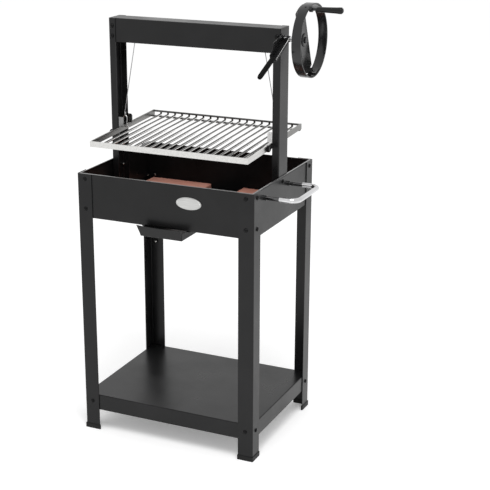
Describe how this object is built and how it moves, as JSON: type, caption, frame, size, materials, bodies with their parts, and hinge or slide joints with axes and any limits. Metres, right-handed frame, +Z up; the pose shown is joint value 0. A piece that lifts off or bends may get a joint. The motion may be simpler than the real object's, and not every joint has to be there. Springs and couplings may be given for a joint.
{
  "type": "argentine grill",
  "caption": "Charcoal grill on angle legs, with a cooking grate that a hand wheel raises and lowers on cables between two uprights.",
  "frame": {"origin": "middle of the whole object's footprint, on the floor", "axes": "+Z up, +X to the cook's right towards the hand wheel, +Y away from the cook"},
  "size_m": [0.7264, 0.4642, 1.2795],
  "materials": {
    "stand_black": "satin black enamel",
    "fastener_black": "black oxide",
    "cap_black": "fine grained",
    "terracotta": "unglazed",
    "grate_steel": "brushed",
    "cable_steel": "stranded",
    "axle_steel": "turned",
    "bush_brass": "turned",
    "chrome": "polished",
    "wheel_black": "satin black",
    "knob_black": "smooth",
    "grip_black": "matt",
    "shoe_pad": "dull",
    "badge_silver": "satin"
  },
  "bodies": {
    "stand": {"leg_front_left": "stand_black", "leg_front_right": "stand_black", "leg_rear_left": "stand_black", "leg_rear_right": "stand_black", "foot_cap_front_left": "cap_black", "foot_cap_front_right": "cap_black", "foot_cap_rear_left": "cap_black", "foot_cap_rear_right": "cap_black", "firebox_front": "stand_black", "firebox_rear": "stand_black", "firebox_left": "stand_black", "firebox_right": "stand_black", "firebox_floor": "stand_black", "firebrick_front_left": "terracotta", "firebrick_front_right": "terracotta", "firebrick_rear_left": "terracotta", "firebrick_rear_right": "terracotta", "tray_runners": "stand_black", "bottom_shelf": "stand_black", "upright_left": "stand_black", "upright_right": "stand_black", "upright_spacers": "fastener_black", "top_beam": "stand_black", "axle_bush_left": "bush_brass", "axle_bush_right": "bush_brass", "lever_pivot": "fastener_black", "side_handle": "chrome", "handle_necks": "knob_black", "badge_plate": "badge_silver", "badge_rivets": "badge_silver", "stand_bolts": "fastener_black", "stand_nuts": "fastener_black"},
    "winch": {"winch_axle": "axle_steel", "axle_end_ring": "axle_steel", "cable_winding_left": "cable_steel", "cable_winding_right": "cable_steel", "brake_drum": "axle_steel", "wheel_hub": "wheel_black", "wheel_spoke": "wheel_black", "wheel_hoop": "wheel_black", "wheel_nut": "fastener_black", "wheel_bolts": "fastener_black", "crank_pin": "fastener_black"},
    "crank_knob": {"crank_knob": "knob_black"},
    "grate": {"grate_frame": "grate_steel", "grate_rods": "grate_steel", "grate_rear_rail": "grate_steel", "grate_cross_bar": "grate_steel", "guide_plates_left": "fastener_black", "guide_plates_right": "fastener_black", "grate_studs": "fastener_black", "cable_shackle_left": "grate_steel", "cable_shackle_right": "grate_steel", "lift_cable_left": "cable_steel", "lift_cable_right": "cable_steel"},
    "ash_tray": {"ash_tray": "stand_black"},
    "brake": {"brake_lever": "wheel_black", "brake_shoe": "shoe_pad", "lever_grip": "grip_black"}
  },
  "joints": [
    {"name": "grate_lift", "type": "slide", "parent": "stand", "child": "grate", "axis": [0, 0, 1], "range_m": [-0.15, 0.16], "deforming": ["lift_cable_left", "lift_cable_right"]},
    {"name": "winch_spin", "type": "hinge", "parent": "stand", "child": "winch", "pos_m": [-0.08405, 0.0189, 1.179], "axis": [1, 0, 0], "range_deg": [-1010, 1080]},
    {"name": "knob_spin", "type": "hinge", "parent": "winch", "child": "crank_knob", "pos_m": [0.32495, -0.01916, 1.26822], "axis": [1, 0, 0], "continuous": true},
    {"name": "brake_release", "type": "hinge", "parent": "stand", "child": "brake", "pos_m": [0.19495, -0.0041, 1.187], "axis": [-1, 0, 0], "range_deg": [0, 25]},
    {"name": "tray_slide", "type": "slide", "parent": "stand", "child": "ash_tray", "axis": [0, -1, 0], "range_m": [0, 0.25]}
  ],
  "couplings": [
    {"joint": "winch_spin", "follows": "grate_lift", "rad_per_m": 116.28}
  ]
}
